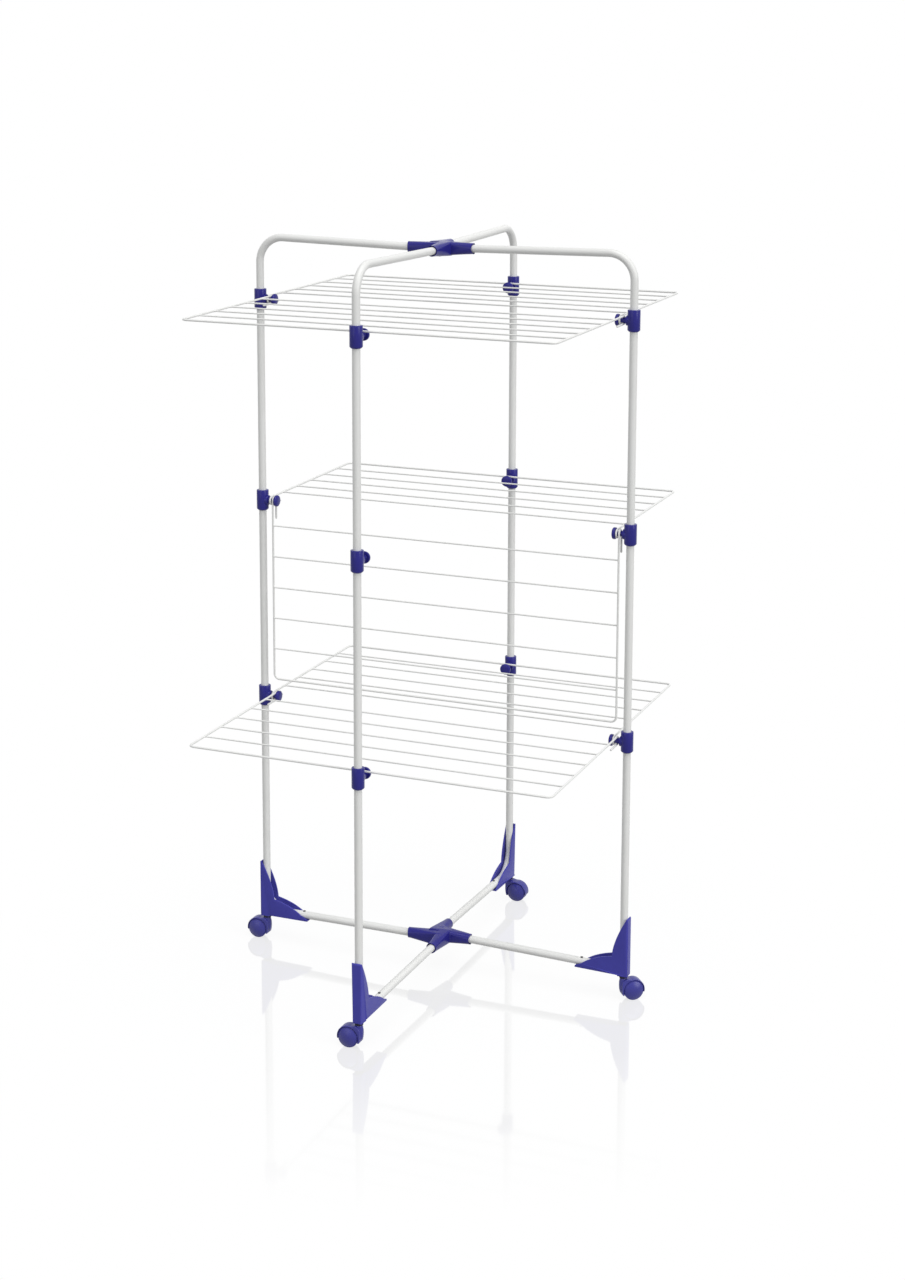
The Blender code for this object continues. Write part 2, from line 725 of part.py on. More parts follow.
def hood_mesh(blue):
    """The castor's body: a fender over both wheels, a web between them that carries the
    axle, and the boss that turns on the stem.

    Its own frame has the stem's axis on Z and the trail toward +X."""
    across = Vector((0, 1, 0))
    up = Vector((0, 0, 1))
    inward = Vector((1, 0, 0))
    axle = Vector((CASTOR_TRAIL, 0, WHEEL_RADIUS))
    top = NECK_BOTTOM_HEIGHT - RING_THICKNESS - 2 * FIT
    flat = FENDER_HALF_WIDTH - HOOD_FRONT_ROUND
    slices = []
    for side, inset in ((-FENDER_HALF_WIDTH, 1), (-flat, 0), (flat, 0), (FENDER_HALF_WIDTH, 1)):
        outline = hood_outline(top, inset * HOOD_FRONT_ROUND)
        slices.append([Vector((x, side, z)) for x, z in outline])
    builder = bmesh.new()
    loft(builder, slices)
    hood = link_object("hood", finish_mesh("hood", builder))
    profile = [(height * top, radius * BOSS_RADIUS) for height, radius in BOSS_SHARES]
    builder = bmesh.new()
    turned(builder, profile, CASTOR_SIDES, up, inward, Vector())
    combine(hood, tool_from(builder), "UNION")
    well = WHEEL_RADIUS + FENDER_GAP
    for sign in (-1, 1):
        builder = bmesh.new()
        ends = [(WEB_HALF_WIDTH, well), (FENDER_HALF_WIDTH + OVERRUN, well)]
        turned(builder, ends, 2 * CASTOR_SIDES, sign * across, inward, axle)
        combine(hood, tool_from(builder), "DIFFERENCE")
    builder = bmesh.new()
    bottom = top - SWIVEL_PIN_LENGTH
    bore = SWIVEL_PIN_DIAMETER / 2 + FIT
    turned(builder, [(bottom, bore), (top + OVERRUN, bore)], CASTOR_SIDES, up, inward, Vector())
    combine(hood, tool_from(builder), "DIFFERENCE")
    builder = bmesh.new()
    bore = AXLE_DIAMETER / 2 + FIT
    ends = [(-WEB_HALF_WIDTH - OVERRUN, bore), (WEB_HALF_WIDTH + OVERRUN, bore)]
    turned(builder, ends, CASTOR_SIDES, across, inward, axle)
    combine(hood, tool_from(builder), "DIFFERENCE")
    mesh = hood.data
    bpy.data.objects.remove(hood, do_unlink=True)
    mesh.materials.clear()
    mesh.materials.append(blue)
    return mesh


def wheel_mesh(blue):
    """One wheel round its own axle point: flat inner face, plain tread, domed outer face.

    The tread has a flat facet at the very bottom, so the wheel stands on a face."""
    apothem = math.cos(math.pi / WHEEL_SIDES)
    rim = WHEEL_RADIUS / apothem
    bore = AXLE_DIAMETER / 2 + FIT
    inner = CASTOR_HALF_WIDTH - WHEEL_WIDTH
    tread_end = CASTOR_HALF_WIDTH - WHEEL_DOME
    bite = inner + AXLE_BITE + FIT
    profile = [
        (bite, bore),
        (inner, bore),
        (inner, rim - WHEEL_EDGE_ROUND),
        (inner + WHEEL_EDGE_ROUND, rim),
        (tread_end - WHEEL_EDGE_ROUND, rim),
        (tread_end, rim - WHEEL_EDGE_ROUND),
        (tread_end + WHEEL_DOME * 2 / 3, rim * 2 / 3),
        (CASTOR_HALF_WIDTH, rim / 3),
    ]
    builder = bmesh.new()
    turned(builder, profile, WHEEL_SIDES, Vector((0, 1, 0)), Vector((0, 0, 1)), Vector())
    mesh = finish_mesh("wheel", builder)
    mesh.materials.append(blue)
    return mesh


def axle_mesh(steel):
    """The steel axle through the hood, with both ends inside the wheels."""
    half = CASTOR_HALF_WIDTH - WHEEL_WIDTH + AXLE_BITE
    radius = AXLE_DIAMETER / 2
    builder = bmesh.new()
    ends = [(-half, radius), (half, radius)]
    turned(builder, ends, CASTOR_SIDES, Vector((0, 1, 0)), Vector((1, 0, 0)), Vector())
    mesh = finish_mesh("axle", builder)
    mesh.materials.append(steel)
    return mesh


def castor_matrix(leg):
    """The swivel frame of a castor: on the leg's axis, turned to its photographed trail."""
    foot = leg_matrix(leg).translation
    return Matrix.Translation(foot) @ Matrix.Rotation(CASTOR_TRAIL_ANGLE[leg], 4, "Z")


def build_castors(blue, black, steel):
    stem = castor_stem_mesh(black)
    hood = hood_mesh(blue)
    wheel = wheel_mesh(blue)
    axle = axle_mesh(steel)
    to_axle = Matrix.Translation((CASTOR_TRAIL, 0, WHEEL_RADIUS))
    half_turn = Matrix.Rotation(math.pi, 4, "Z")
    for leg in LEGS:
        frame = castor_matrix(leg)
        link_object(f"castor_stem_{leg}", stem, matrix=leg_matrix(leg))
        link_object(f"castor_body_{leg}", hood, matrix=frame)
        link_object(f"castor_axle_{leg}", axle, matrix=frame @ to_axle)
        link_object(f"wheel_{leg}_a", wheel, matrix=frame @ to_axle)
        link_object(f"wheel_{leg}_b", wheel, matrix=frame @ to_axle @ half_turn)


def build():
    clear_scene()
    white = material("white_coat", WHITE_COAT)
    blue = material("blue_plastic", BLUE_PLASTIC)
    black = material("black_plastic", BLACK_PLASTIC)
    steel = material("zinc_steel", ZINC_STEEL)
    dark = material("dark_steel", DARK_STEEL)
    build_tubes(white)
    build_hub("hub_bottom", lower_axis, blue)
    build_hub("hub_top", upper_axis, blue)
    build_clips(blue)
    build_wings(white)
    build_feet(blue)
    build_foot_pins(dark)
    build_castors(blue, black, steel)


build()
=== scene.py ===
import math

import bpy
from mathutils import Matrix, Quaternion, Vector


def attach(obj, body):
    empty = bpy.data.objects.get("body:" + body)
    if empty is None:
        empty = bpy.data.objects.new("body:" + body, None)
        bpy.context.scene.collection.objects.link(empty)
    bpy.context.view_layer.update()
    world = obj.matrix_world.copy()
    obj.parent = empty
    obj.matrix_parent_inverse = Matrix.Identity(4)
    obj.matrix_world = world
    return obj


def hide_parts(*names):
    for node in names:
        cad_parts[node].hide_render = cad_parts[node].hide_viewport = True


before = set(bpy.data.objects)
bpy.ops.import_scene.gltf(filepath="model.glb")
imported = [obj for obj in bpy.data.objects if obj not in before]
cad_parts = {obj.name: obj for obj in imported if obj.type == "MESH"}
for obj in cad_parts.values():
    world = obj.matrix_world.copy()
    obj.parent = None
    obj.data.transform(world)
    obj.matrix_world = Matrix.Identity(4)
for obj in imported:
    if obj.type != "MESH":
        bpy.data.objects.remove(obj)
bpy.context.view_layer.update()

# ---------------------------------------------------------------- base tubes
# Four lengths of welded steel tube, 15 mm across with a 1.2 mm wall, bent at the foot
# and powder coated white. Each is the lower half of one leg and a quarter of the base
# cross: its far end is pushed into the bottom hub.
leg_turns = {"left": 0, "front": 90, "right": 180, "back": 270}
half_span = 0.385
hub_offset = 0.009
toe_angle = math.asin(hub_offset / half_span)
tube_radius = 0.0075
tube_wall = 0.0012
tube_reach = (half_span - 0.002) / math.cos(toe_angle)
bend_radius = 0.050
joint_height = 0.924
joint_gap = 0.00015
foot_axis_height = 0.062
base_slope = math.atan2(0.0055, half_span)
base_bend = math.pi / 2 + base_slope
base_bend_top = foot_axis_height + bend_radius * math.tan(base_bend / 2)
pin_reach = 0.086
pin_hole_radius = 0.0018
pin_place = Vector((pin_reach, 0, foot_axis_height + pin_reach * math.tan(base_slope)))
pin_up = Vector((-math.sin(base_slope), 0, math.cos(base_slope)))


def take_up(piece):
    """Leaves only this piece selected and active, in object mode."""
    if bpy.context.object and bpy.context.object.mode == "EDIT":
        bpy.ops.object.mode_set(mode="OBJECT")
    bpy.ops.object.select_all(action="DESELECT")
    if piece:
        bpy.context.view_layer.objects.active = piece
        piece.select_set(True)


def start_ring(name, radius, sides, centre, facing, filled=False, phase=0.0):
    """A ring of points facing along an axis, ready in edit mode to be drawn out."""
    take_up(None)
    turn = Vector(facing).to_track_quat("Z", "Y") @ Quaternion((0, 0, 1), phase)
    bpy.ops.mesh.primitive_circle_add(
        vertices=sides, radius=radius, location=centre, rotation=turn.to_euler(),
        fill_type="NGON" if filled else "NOTHING",
    )
    bpy.context.object.name = name
    bpy.ops.object.mode_set(mode="EDIT")
    bpy.ops.mesh.select_all(action="SELECT")
    return bpy.context.object


def draw_out(along, steps=1):
    """Extrudes what is selected; long runs go in steps, so that no face is a long sliver."""
    for _ in range(steps):
        share = tuple(Vector(along) / steps)
        bpy.ops.mesh.extrude_region_move(TRANSFORM_OT_translate={"value": share})


def turned(name, origin, axis, profile, sides=48, phase=0.0):
    """A solid turned on its axis; profile is (distance along the axis, radius)."""
    origin, axis = Vector(origin), Vector(axis)
    at, radius = profile[0]
    piece = start_ring(name, radius, sides, origin + at * axis, axis, True, phase)
    for next_at, next_radius in profile[1:]:
        draw_out((next_at - at) * axis)
        grown = next_radius / radius
        centre = origin + next_at * axis
        bpy.ops.transform.resize(value=(grown, grown, grown), center_override=centre)
        at, radius = next_at, next_radius
    bpy.ops.mesh.select_all(action="SELECT")
    bpy.ops.mesh.normals_make_consistent(inside=False)
    take_up(piece)
    return piece


def use_modifier(piece, kind, settings):
    """Adds a modifier, sets it and applies it."""
    take_up(piece)
    bpy.ops.object.modifier_add(type=kind)
    modifier = piece.modifiers[-1]
    for name, value in settings.items():
        setattr(modifier, name, value)
    bpy.ops.object.modifier_apply(modifier=modifier.name)


def combine(piece, tool, operation):
    """Joins a solid to a piece or cuts it away, and drops the tool."""
    use_modifier(piece, "BOOLEAN", {"operation": operation, "solver": "EXACT", "object": tool})
    bpy.data.objects.remove(tool)


def clean_up(piece, crease=32):
    """Merges doubles, turns faces outwards and shades smooth up to the real edges."""
    take_up(piece)
    bpy.ops.object.transform_apply(location=True, rotation=True, scale=True)
    bpy.ops.object.mode_set(mode="EDIT")
    bpy.ops.mesh.select_all(action="SELECT")
    bpy.ops.mesh.remove_doubles(threshold=0.000005)
    bpy.ops.mesh.normals_make_consistent(inside=False)
    take_up(piece)
    bpy.ops.object.shade_smooth_by_angle(angle=math.radians(crease))


def copied(pattern, name, place):
    """One finished piece from a pattern, with a mesh of its own and its place in it."""
    take_up(pattern)
    bpy.ops.object.duplicate()
    piece = bpy.context.object
    piece.name = name
    piece.data.name = name
    piece.matrix_world = place @ piece.matrix_world
    bpy.ops.object.transform_apply(location=True, rotation=True, scale=True)
    return piece


def at_leg(leg, height=0.0, toe=toe_angle):
    """A leg's own frame: origin on its axis, +X inward, turned in past the middle."""
    turn = Matrix.Rotation(math.radians(leg_turns[leg]), 4, "Z")
    inward = Matrix.Rotation(-toe, 4, "Z")
    return turn @ Matrix.Translation((-half_span, 0, height)) @ inward


def hex_colour(code):
    """An sRGB hex colour as the linear colour that a shader takes."""
    shares = [int(code[start:start + 2], 16) / 255 for start in (0, 2, 4)]
    linear = [v / 12.92 if v <= 0.04045 else ((v + 0.055) / 1.055) ** 2.4 for v in shares]
    return (*linear, 1.0)


def add_node(tree, kind, settings=None, links=None):
    """Adds a shader node, sets its options and sockets, and links its inputs."""
    made = tree.nodes.new("ShaderNode" + kind)
    for name, value in (settings or {}).items():
        if isinstance(name, str) and hasattr(made, name):
            setattr(made, name, value)
        else:
            made.inputs[name].default_value = value
    for name, source in (links or {}).items():
        tree.links.new(source, made.inputs[name])
    return made


def new_finish(name):
    """An empty node material, its tree, and the place on the piece that textures read."""
    finish = bpy.data.materials.new(name)
    finish.use_nodes = True
    tree = finish.node_tree
    tree.nodes.clear()
    place = add_node(tree, "TexCoord").outputs["Object"]
    return finish, tree, place


def tinted(tree, noise, dark, light):
    """A base colour that drifts between two sRGB hex colours."""
    settings = {"data_type": "RGBA", 6: hex_colour(dark), 7: hex_colour(light)}
    return add_node(tree, "Mix", settings, {0: noise.outputs["Fac"]}).outputs[2]


def glossed(tree, noise, low, high, start=0.3, end=0.7):
    """A roughness that runs from low to high as the noise runs from start to end."""
    settings = {"From Min": start, "From Max": end, "To Min": low, "To Max": high}
    return add_node(tree, "MapRange", settings, {"Value": noise.outputs["Fac"]}).outputs["Result"]


def embossed(tree, noise, strength, depth, under=None):
    """A fine relief, laid over another one where that is given."""
    links = {"Height": noise.outputs["Fac"]}
    if under is not None:
        links["Normal"] = under
    settings = {"Strength": strength, "Distance": depth}
    return add_node(tree, "Bump", settings, links).outputs["Normal"]


def surfaced(tree, settings, links):
    """Ends a finish with its surface shader."""
    shader = add_node(tree, "BsdfPrincipled", settings, links)
    add_node(tree, "OutputMaterial", None, {"Surface": shader.outputs["BSDF"]})


def wear(piece, finish):
    """Gives a piece this finish and no other."""
    piece.data.materials.clear()
    piece.data.materials.append(finish)


# Polyester powder coat on steel: half gloss, with a fine orange peel about 1.5 mm
# across, a slow drift of film thickness and a few dull specks.
powder_coat, tree, place = new_finish("powder_coat_white")
drift = add_node(tree, "TexNoise", {"Scale": 14.0, "Detail": 3.0}, {"Vector": place})
peel = add_node(tree, "TexNoise", {"Scale": 650.0, "Detail": 2.0}, {"Vector": place})
grain = add_node(tree, "TexNoise", {"Scale": 4200.0, "Detail": 1.0}, {"Vector": place})
surfaced(tree, {"IOR": 1.50, "Metallic": 0.0}, {
    "Base Color": tinted(tree, drift, "E4E4E1", "ECECEA"),
    "Roughness": glossed(tree, drift, 0.30, 0.42),
    "Normal": embossed(tree, grain, 0.10, 0.00002, embossed(tree, peel, 0.22, 0.00008)),
})

tube_top = joint_height - joint_gap
pattern = start_ring("tube_pattern", tube_radius, 32, (0, 0, tube_top), (0, 0, 1))
draw_out((0, 0, base_bend_top - tube_top), 16)
bpy.ops.mesh.spin(
    steps=18, angle=base_bend, center=(bend_radius, 0, base_bend_top), axis=(0, 1, 0),
)
run = tube_reach - bend_radius * (1 + math.sin(base_slope))
draw_out((run, 0, run * math.tan(base_slope)), 8)
bpy.ops.mesh.select_all(action="SELECT")
bpy.ops.mesh.normals_make_consistent(inside=False)
use_modifier(pattern, "SOLIDIFY", {"thickness": tube_wall, "offset": -1.0})
pin_hole = [(0, pin_hole_radius), (0.012, pin_hole_radius)]
drill = turned("drill", pin_place, pin_up, pin_hole, 24)
combine(pattern, drill, "DIFFERENCE")
clean_up(pattern)
for leg in leg_turns:
    tube = copied(pattern, f"base_tube_{leg}", at_leg(leg))
    wear(tube, powder_coat)
    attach(tube, "frame")
    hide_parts(f"lower_tube_{leg}")
bpy.data.objects.remove(pattern)

# ----------------------------------------------------------------- top tubes
# The upper halves of the legs, of the same tube and coat. The lower end is swaged in
# to plug into the base tube behind the middle clip, and the upper end bends over and
# runs into the top hub.
top_corner_height = 1.452
top_slope = math.atan2(0.007, half_span)
top_bend = math.pi / 2 + top_slope
top_bend_start = top_corner_height - bend_radius * math.tan(top_bend / 2)
spigot_radius = tube_radius - tube_wall - 0.0003
spigot_length = 0.035
lead_radius = spigot_radius - 0.0005
lead_length = 0.0012
shoulder_radius = tube_radius - 0.0004
shoulder_length = 0.0012
flare_length = 0.0028

spigot_end = (0, 0, joint_height - spigot_length)
pattern = start_ring("tube_pattern", lead_radius, 32, spigot_end, (0, 0, 1))
for length, radius, before in (
    (lead_length, spigot_radius, lead_radius),
    (spigot_length - lead_length + joint_gap, spigot_radius, spigot_radius),
    (shoulder_length, shoulder_radius, spigot_radius),
    (flare_length, tube_radius, shoulder_radius),
):
    draw_out((0, 0, length))
    bpy.ops.transform.resize(value=(radius / before, radius / before, 1))
flare_end = joint_height + joint_gap + shoulder_length + flare_length
draw_out((0, 0, top_bend_start - flare_end), 10)
bpy.ops.mesh.spin(
    steps=18, angle=top_bend, center=(bend_radius, 0, top_bend_start), axis=(0, -1, 0),
)
run = tube_reach - bend_radius * (1 + math.sin(top_slope))
draw_out((run, 0, -run * math.tan(top_slope)), 8)
bpy.ops.mesh.select_all(action="SELECT")
bpy.ops.mesh.normals_make_consistent(inside=False)
use_modifier(pattern, "SOLIDIFY", {"thickness": tube_wall, "offset": -1.0})
clean_up(pattern)
for leg in leg_turns:
    tube = copied(pattern, f"top_tube_{leg}", at_leg(leg))
    wear(tube, powder_coat)
    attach(tube, "frame")
    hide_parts(f"upper_tube_{leg}")
bpy.data.objects.remove(pattern)

# ---------------------------------------------------------------------- hubs
# Two one-piece crosses moulded in blue-violet polypropylene. Each has four sleeves,
# round at the mouth and squarish at the middle, set side by side like a pinwheel; the
# front and back pair stands up as a band over the other two.
hub_reach = 0.064
sleeve_radius = 0.0105
sleeve_sides = 24
bore_radius = tube_radius + 0.0003
core_width = 0.025
core_corner = 0.0030
mouth_lip = 0.003
mouth_dip = 0.0020
hub_heights = {"bottom": (0.0675, -base_slope), "top": (1.445, top_slope)}


def select_rings(piece, stations):
    """Selects the rings of a piece that stand at these places along X."""
    take_up(piece)
    for vertex in piece.data.vertices:
        place = (piece.matrix_world @ vertex.co).x
        vertex.select = any(abs(place - station) < 0.00002 for station in stations)
    for edge in piece.data.edges:
        edge.select = all(piece.data.vertices[v].select for v in edge.vertices)
    for face in piece.data.polygons:
        face.select = False
    bpy.ops.object.mode_set(mode="EDIT")


def hub_arm(name, core_height, core_drop):
    """One sleeve along +X, bridged from its round mouth to the rounded square core."""
    mouth = (-hub_reach, 0, 0)
    half_side = math.pi / sleeve_sides
    arm = start_ring(name, sleeve_radius, sleeve_sides, mouth, (1, 0, 0), False, half_side)
    draw_out((mouth_lip, 0, 0))
    bpy.ops.mesh.primitive_plane_add(
        size=core_width, location=(0, 0, -core_drop), rotation=(0, math.pi / 2, 0),
    )
    middle = (0, 0, -core_drop)
    bpy.ops.transform.resize(value=(1, 1, core_height / core_width), center_override=middle)
    bpy.ops.mesh.bevel(offset=core_corner, segments=5, affect="VERTICES")
    bpy.ops.mesh.delete(type="ONLY_FACE")
    select_rings(arm, (-hub_reach + mouth_lip, 0.0))
    bpy.ops.mesh.bridge_edge_loops(number_cuts=6)
    select_rings(arm, (0.0,))
    draw_out((0.006, 0, 0))
    bpy.ops.mesh.edge_face_add()
    select_rings(arm, (-hub_reach,))
    bpy.ops.mesh.edge_face_add()
    bpy.ops.mesh.select_all(action="SELECT")
    bpy.ops.mesh.normals_make_consistent(inside=False)
    take_up(arm)
    bite = (sleeve_radius ** 2 + mouth_dip ** 2) / (2 * mouth_dip)
    centre = (-hub_reach - bite + mouth_dip, -0.02, 0)
    scoop = turned("scoop", centre, (0, 1, 0), [(0, bite), (0.04, bite)], 128)
    combine(arm, scoop, "DIFFERENCE")
    return arm


# Polypropylene from a polished mould: glossy, with a slow change of tone from the flow of
# the plastic and a very fine ripple about 0.8 mm across. Its base colour is set darker
# than the brackets' tone of the same plastic: that difference is painted shade.
shade_darkened_glossy_plastic, tree, place = new_finish("polished_polypropylene_blue_violet_painted_shade")
flow = add_node(tree, "TexNoise", {"Scale": 45.0, "Detail": 3.0}, {"Vector": place})
ripple = add_node(tree, "TexNoise", {"Scale": 1200.0, "Detail": 2.0}, {"Vector": place})
surfaced(tree, {"IOR": 1.49, "Metallic": 0.0, "Specular IOR Level": 0.2}, {
    "Base Color": tinted(tree, flow, "28267C", "2E2C88"),
    "Roughness": glossed(tree, flow, 0.18, 0.27),
    "Normal": embossed(tree, ripple, 0.12, 0.00004),
})

low_arm = hub_arm("low_arm", 0.0262, 0.0006)
band_arm = hub_arm("band_arm", 0.0272, 0.0)
for end, (height, tilt) in hub_heights.items():
    places = {}
    for leg in leg_turns:
        far_end = Matrix.Translation((half_span / math.cos(toe_angle), 0, height))
        places[leg] = at_leg(leg) @ far_end @ Matrix.Rotation(tilt, 4, "Y")
    hub = copied(low_arm, f"cross_hub_{end}", places["left"])
    combine(hub, copied(low_arm, "arm", places["right"]), "UNION")
    combine(hub, copied(band_arm, "arm", places["front"]), "UNION")
    combine(hub, copied(band_arm, "arm", places["back"]), "UNION")
    for leg in leg_turns:
        drill = turned("drill", (0, 0, 0), (1, 0, 0), [
            (-0.0700, 0.0097), (-0.0625, 0.0094), (-0.0575, bore_radius), (-0.0017, bore_radius),
        ], 32)
        drill = copied(drill, "socket", places[leg])
        combine(hub, drill, "DIFFERENCE")
        bpy.data.objects.remove(bpy.data.objects["drill"])
    use_modifier(hub, "BEVEL", {"width": 0.0004, "segments": 2, "angle_limit": math.radians(40)})
    clean_up(hub)
    wear(hub, shade_darkened_glossy_plastic)
    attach(hub, "frame")
    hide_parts(f"hub_{end}")
bpy.data.objects.remove(low_arm)
bpy.data.objects.remove(band_arm)

# --------------------------------------------------------------------- clips
# Twelve moulded clips, three on each leg, of the hubs' polished plastic. A collar grips
# the tube, and a stud with a domed disc head points inward and carries the wires.
levels = {"bottom": 0.520, "middle": 0.924, "top": 1.328}

collar = turned("clip_pattern", (0, 0, 0), (0, 0, 1), [
    (-0.0205, 0.0086), (-0.0203, 0.0091), (-0.0178, 0.0117), (-0.0170, 0.0120),
    (0.0196, 0.0120), (0.0203, 0.0117), (0.0205, 0.0110),
], 48)
boss = turned("boss", (0, 0, 0), (1, 0, 0), [
    (0.0060, 0.00975), (0.0133, 0.00975), (0.0138, 0.0095), (0.0140, 0.0090),
    (0.0140, 0.0060), (0.0143, 0.0053), (0.0150, 0.0050), (0.0278, 0.0050),
    (0.0284, 0.0054), (0.0285, 0.0062), (0.0285, 0.0104), (0.0288, 0.0110),
    (0.0296, 0.0113), (0.0326, 0.0113), (0.0336, 0.0109), (0.0344, 0.0098),
    (0.0350, 0.0080), (0.0354, 0.0057), (0.0356, 0.0032), (0.0356, 0.0010),
], 40)
combine(collar, boss, "UNION")
through = [(-0.03, bore_radius), (0.03, bore_radius)]
bore = turned("bore", (0, 0, 0), (0, 0, 1), through, 32)
combine(collar, bore, "DIFFERENCE")
clean_up(collar)
for level, height in levels.items():
    for leg in leg_turns:
        clip = copied(collar, f"leg_clip_{level}_{leg}", at_leg(leg, height, 0.0))
        # The clips take the hubs' darker tone of the plastic, which is painted shade.
        wear(clip, shade_darkened_glossy_plastic)
        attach(clip, "frame")
        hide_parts(f"clip_{level}_{leg}")
bpy.data.objects.remove(collar)

# --------------------------------------------------------------------- feet
# Four moulded foot brackets, of the same plastic, textured. A channel wraps the bend of
# the tube from outside, with two pointed cheeks like fins, and a short neck below takes
# the castor's stem.
foot_half_width = 0.0104
web_face = -0.0110
foot_top = 0.105
foot_under = -0.0100
neck_bottom = 0.0495
neck_shoulder = 0.0518
fin_tip = 0.097
fin_edge = 0.0030
inner_corner = Vector((0.0210, 0.0265))


def bow(start, pull, end, steps):
    """Points on a curve from start to end, drawn toward the pull point."""
    shares = [index / steps for index in range(steps + 1)]
    return [
        (1 - t) ** 2 * Vector(start) + 2 * t * (1 - t) * Vector(pull) + t * t * Vector(end)
        for t in shares
    ]


def cut_out(name, outline, side, depth):
    """A plate: its outline drawn corner by corner in the XZ plane, filled and drawn out."""
    take_up(None)
    first = outline[0]
    bpy.ops.mesh.primitive_plane_add(size=0.001, location=(first[0], side, first[1]))
    plate = bpy.context.object
    plate.name = name
    bpy.ops.object.mode_set(mode="EDIT")
    bpy.ops.mesh.select_all(action="SELECT")
    bpy.ops.mesh.merge(type="CENTER")
    for before, after in zip(outline, outline[1:]):
        draw_out((after[0] - before[0], 0, after[1] - before[1]))
    bpy.ops.mesh.select_all(action="SELECT")
    bpy.ops.mesh.edge_face_add()
    draw_out((0, depth, 0))
    bpy.ops.mesh.select_all(action="SELECT")
    bpy.ops.mesh.normals_make_consistent(inside=False)
    take_up(plate)
    bpy.ops.object.transform_apply(location=True, rotation=True, scale=True)
    return plate


def select_edges(piece, wanted):
    """Selects the edges whose two ends both pass the test, and opens edit mode."""
    take_up(piece)
    for vertex in piece.data.vertices:
        vertex.select = False
    for face in piece.data.polygons:
        face.select = False
    for edge in piece.data.edges:
        ends = [piece.data.vertices[v].co for v in edge.vertices]
        edge.select = wanted(*ends)
    bpy.ops.object.mode_set(mode="EDIT")
    bpy.ops.mesh.select_mode(type="EDGE")


# The brackets have a spark-eroded mould texture: satin, with a grain about 0.4 mm
# across and a slow change of tone from the flow of the plastic.
satin_plastic, tree, place = new_finish("textured_polypropylene_blue_violet")
flow = add_node(tree, "TexNoise", {"Scale": 45.0, "Detail": 3.0}, {"Vector": place})
spark = add_node(tree, "TexNoise", {"Scale": 2400.0, "Detail": 3.0}, {"Vector": place})
surfaced(tree, {"IOR": 1.49, "Metallic": 0.0, "Specular IOR Level": 0.12}, {
    "Base Color": tinted(tree, flow, "4544A0", "4C4BAB"),
    "Roughness": glossed(tree, flow, 0.27, 0.38),
    "Normal": embossed(tree, spark, 0.20, 0.00005),
})

rise = math.tan(base_slope)
outline = [Vector((web_face, foot_top)), Vector((web_face, neck_bottom - foot_axis_height))]
outline += [Vector((0.0085, neck_bottom - foot_axis_height))]
outline += bow((0.0086, -0.0121), (0.0089, -0.0100), (0.0135, foot_under + 0.0135 * rise), 5)
outline += [Vector((fin_tip, foot_under + fin_tip * rise))]
outline += [Vector((fin_tip, foot_under + fin_tip * rise + fin_edge))]
outline += bow((0.0834, 0.0008), (0.0600, 0.0194), inner_corner, 14)
outline += bow(inner_corner, (0.0185, 0.0592), (web_face + fin_edge, foot_top), 14)[1:]
outline = [Vector((x, z + foot_axis_height)) for x, z in outline]
foot = cut_out("foot_pattern", outline, -foot_half_width, 2 * foot_half_width)
select_edges(foot, lambda a, b: abs(a.x - web_face) < 1e-5 and abs(b.x - web_face) < 1e-5
             and abs(a.z - b.z) > 0.05)
bpy.ops.mesh.bevel(offset=0.0027, segments=5)
bpy.ops.mesh.select_all(action="SELECT")
bpy.ops.mesh.bisect(plane_co=(0, 0, neck_shoulder), plane_no=(0, 0, 1))
bpy.ops.mesh.select_mode(type="VERT")
take_up(foot)
for vertex in foot.data.vertices:
    vertex.select = vertex.co.z < neck_bottom + 0.0002
bpy.ops.object.mode_set(mode="EDIT")
bpy.ops.transform.resize(value=(0.97, 0.84, 1), center_override=(-0.002, 0, neck_bottom))
take_up(foot)
use_modifier(foot, "BEVEL", {"width": 0.0007, "segments": 3, "angle_limit": math.radians(40)})

channel_top = foot_axis_height + foot_top + 0.004
channel_depth = 0.045
channel_run = 0.06
take_up(None)
bpy.ops.mesh.primitive_plane_add(size=2 * bore_radius, location=(0, 0, channel_top))
channel = bpy.context.object
bpy.ops.object.mode_set(mode="EDIT")
bpy.ops.mesh.select_all(action="SELECT")
widened = (channel_depth + bore_radius) / (2 * bore_radius)
back_edge = (-bore_radius, 0, channel_top)
bpy.ops.transform.resize(value=(widened, 1, 1), center_override=back_edge)
draw_out((0, 0, base_bend_top - channel_top))
bpy.ops.mesh.spin(
    steps=18, angle=base_bend, center=(bend_radius, 0, base_bend_top), axis=(0, 1, 0),
)
draw_out((channel_run, 0, channel_run * rise))
bpy.ops.mesh.select_all(action="SELECT")
bpy.ops.mesh.normals_make_consistent(inside=False)
combine(foot, channel, "DIFFERENCE")
stem_hole = [(0.03, 0.0043), (0.0748, 0.0043)]
socket = turned("socket", (0, 0, 0), (0, 0, 1), stem_hole, 32)
combine(foot, socket, "DIFFERENCE")
clean_up(foot, 28)
for leg in leg_turns:
    bracket = copied(foot, f"foot_bracket_{leg}", at_leg(leg))
    wear(bracket, satin_plastic)
    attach(bracket, "frame")
    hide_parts(f"foot_{leg}")
bpy.data.objects.remove(foot)

# ------------------------------------------------------------------ foot pins
# Four dark push pins, one in the top of each base tube at the end of its bracket. They
# are moulded in nylon, with a low round head and a dimple.
pin_nylon, tree, place = new_finish("moulded_nylon_charcoal")
cloud = add_node(tree, "TexNoise", {"Scale": 900.0, "Detail": 2.0}, {"Vector": place})
surfaced(tree, {"IOR": 1.53, "Roughness": 0.42}, {
    "Base Color": tinted(tree, cloud, "2A2A2C", "38383B"),
    "Normal": embossed(tree, cloud, 0.25, 0.00004),
})

